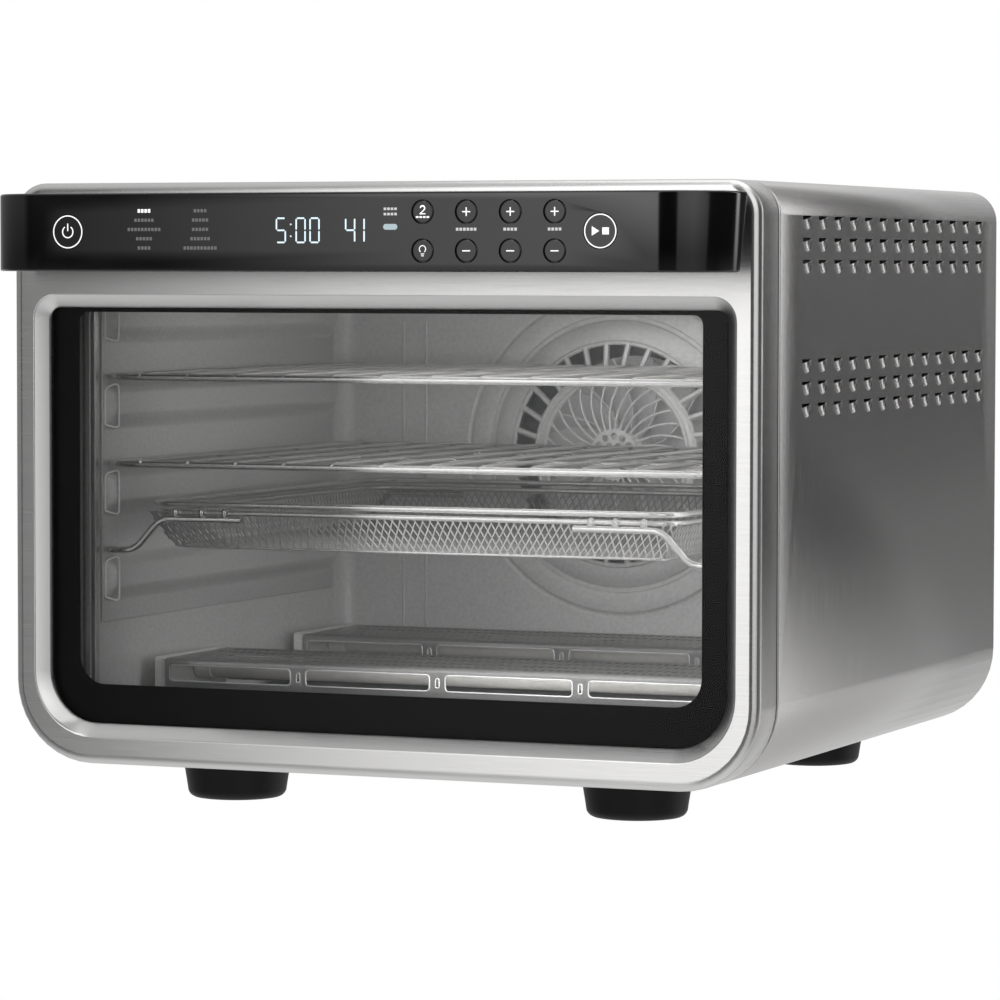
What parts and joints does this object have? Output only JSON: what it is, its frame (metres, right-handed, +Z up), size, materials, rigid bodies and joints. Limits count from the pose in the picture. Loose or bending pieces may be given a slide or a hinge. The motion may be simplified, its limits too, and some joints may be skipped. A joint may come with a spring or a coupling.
{
  "type": "toaster oven",
  "caption": "Countertop convection toaster oven with a steel case, drop-down glass door carrying a black control bar, wire racks, an air-fry basket and a rear fan.",
  "frame": {"origin": "centre of the object's footprint box, on the surface that the feet stand on", "axes": "+X to the right when facing the door, +Y from the door to the rear, +Z up"},
  "size_m": [0.434, 0.513, 0.341],
  "materials": {
    "brushed_steel": "brushed",
    "liner_steel": "satin",
    "chrome_wire": "polished",
    "zinc_steel": "satin",
    "black_gloss": "gloss",
    "black_plastic": "matte",
    "black_glass": "gloss",
    "clear_glass": "gloss",
    "quartz": "frosted",
    "rubber": "matte",
    "silicone": "matte",
    "circuit_board": "matte",
    "display": "gloss",
    "aluminium": "satin"
  },
  "bodies": {
    "oven": {"outer_housing": "brushed_steel", "bottom_plate": "zinc_steel", "front_frame": "brushed_steel", "rear_panel": "zinc_steel", "rear_cover": "black_plastic", "cord_gland": "rubber", "foot_front_left": "rubber", "foot_front_right": "rubber", "foot_rear_left": "rubber", "foot_rear_right": "rubber", "cavity_liner": "liner_steel", "rack_support_left": "liner_steel", "rack_support_right": "liner_steel", "fan_grille": "liner_steel", "fan_housing": "zinc_steel", "fan_motor": "zinc_steel", "heater_guard_front": "liner_steel", "heater_guard_rear": "liner_steel", "heater_lower_front": "quartz", "heater_lower_rear": "quartz", "heater_upper_front": "quartz", "heater_upper_middle": "quartz", "heater_upper_rear": "quartz", "heater_bracket_left": "zinc_steel", "heater_bracket_right": "zinc_steel", "crumb_tray": "zinc_steel", "lamp_lens": "clear_glass", "lamp_holder": "zinc_steel", "temperature_probe": "chrome_wire", "power_board": "circuit_board", "hinge_bracket_left": "zinc_steel", "hinge_bracket_right": "zinc_steel"},
    "fan": {"fan_blade": "aluminium"},
    "rack_upper": {"wire_rack_upper": "chrome_wire"},
    "rack_middle": {"wire_rack_middle": "chrome_wire"},
    "basket": {"air_fry_basket": "chrome_wire"},
    "door": {"door_frame": "brushed_steel", "door_glass_outer": "black_glass", "door_glass_inner": "clear_glass", "door_inner_frame": "liner_steel", "door_seal": "silicone", "hinge_leaf_left": "zinc_steel", "hinge_leaf_right": "zinc_steel", "control_bar_shell": "black_gloss", "control_bar_back": "black_gloss", "display_module": "display", "control_board": "circuit_board", "bar_post_left": "black_gloss", "bar_post_right": "black_gloss"},
    "key_power": {"button_power": "black_gloss"},
    "key_start": {"button_start": "black_gloss"},
    "key_top_1": {"button_top_1": "black_gloss"},
    "key_bottom_1": {"button_bottom_1": "black_gloss"},
    "key_top_2": {"button_top_2": "black_gloss"},
    "key_bottom_2": {"button_bottom_2": "black_gloss"},
    "key_top_3": {"button_top_3": "black_gloss"},
    "key_bottom_3": {"button_bottom_3": "black_gloss"},
    "key_top_4": {"button_top_4": "black_gloss"},
    "key_bottom_4": {"button_bottom_4": "black_gloss"}
  },
  "joints": [
    {"name": "door_hinge", "type": "hinge", "parent": "oven", "child": "door", "pos_m": [0, -0.1865, 0.029], "axis": [1, 0, 0], "range_deg": [0, 79]},
    {"name": "fan_spin", "type": "hinge", "parent": "oven", "child": "fan", "pos_m": [0, 0.1715, 0.183], "axis": [0, 1, 0], "continuous": true},
    {"name": "rack_upper_slide", "type": "slide", "parent": "oven", "child": "rack_upper", "axis": [0, -1, 0], "range_m": [0, 0.2]},
    {"name": "rack_middle_slide", "type": "slide", "parent": "oven", "child": "rack_middle", "axis": [0, -1, 0], "range_m": [0, 0.16]},
    {"name": "basket_slide", "type": "slide", "parent": "oven", "child": "basket", "axis": [0, -1, 0], "range_m": [0, 0.12]},
    {"name": "press_power", "type": "slide", "parent": "door", "child": "key_power", "axis": [0, 1, 0], "range_m": [0, 0.0008], "stiffness_N_per_m": 400},
    {"name": "press_start", "type": "slide", "parent": "door", "child": "key_start", "axis": [0, 1, 0], "range_m": [0, 0.0008], "stiffness_N_per_m": 400},
    {"name": "press_top_1", "type": "slide", "parent": "door", "child": "key_top_1", "axis": [0, 1, 0], "range_m": [0, 0.0008], "stiffness_N_per_m": 400},
    {"name": "press_bottom_1", "type": "slide", "parent": "door", "child": "key_bottom_1", "axis": [0, 1, 0], "range_m": [0, 0.0008], "stiffness_N_per_m": 400},
    {"name": "press_top_2", "type": "slide", "parent": "door", "child": "key_top_2", "axis": [0, 1, 0], "range_m": [0, 0.0008], "stiffness_N_per_m": 400},
    {"name": "press_bottom_2", "type": "slide", "parent": "door", "child": "key_bottom_2", "axis": [0, 1, 0], "range_m": [0, 0.0008], "stiffness_N_per_m": 400},
    {"name": "press_top_3", "type": "slide", "parent": "door", "child": "key_top_3", "axis": [0, 1, 0], "range_m": [0, 0.0008], "stiffness_N_per_m": 400},
    {"name": "press_bottom_3", "type": "slide", "parent": "door", "child": "key_bottom_3", "axis": [0, 1, 0], "range_m": [0, 0.0008], "stiffness_N_per_m": 400},
    {"name": "press_top_4", "type": "slide", "parent": "door", "child": "key_top_4", "axis": [0, 1, 0], "range_m": [0, 0.0008], "stiffness_N_per_m": 400},
    {"name": "press_bottom_4", "type": "slide", "parent": "door", "child": "key_bottom_4", "axis": [0, 1, 0], "range_m": [0, 0.0008], "stiffness_N_per_m": 400}
  ],
  "couplings": [
    {"joint": "rack_upper_slide", "follows": "door_hinge", "m_per_rad": 0.13},
    {"joint": "rack_middle_slide", "follows": "door_hinge", "m_per_rad": 0.105},
    {"joint": "basket_slide", "follows": "door_hinge", "m_per_rad": 0.08}
  ]
}
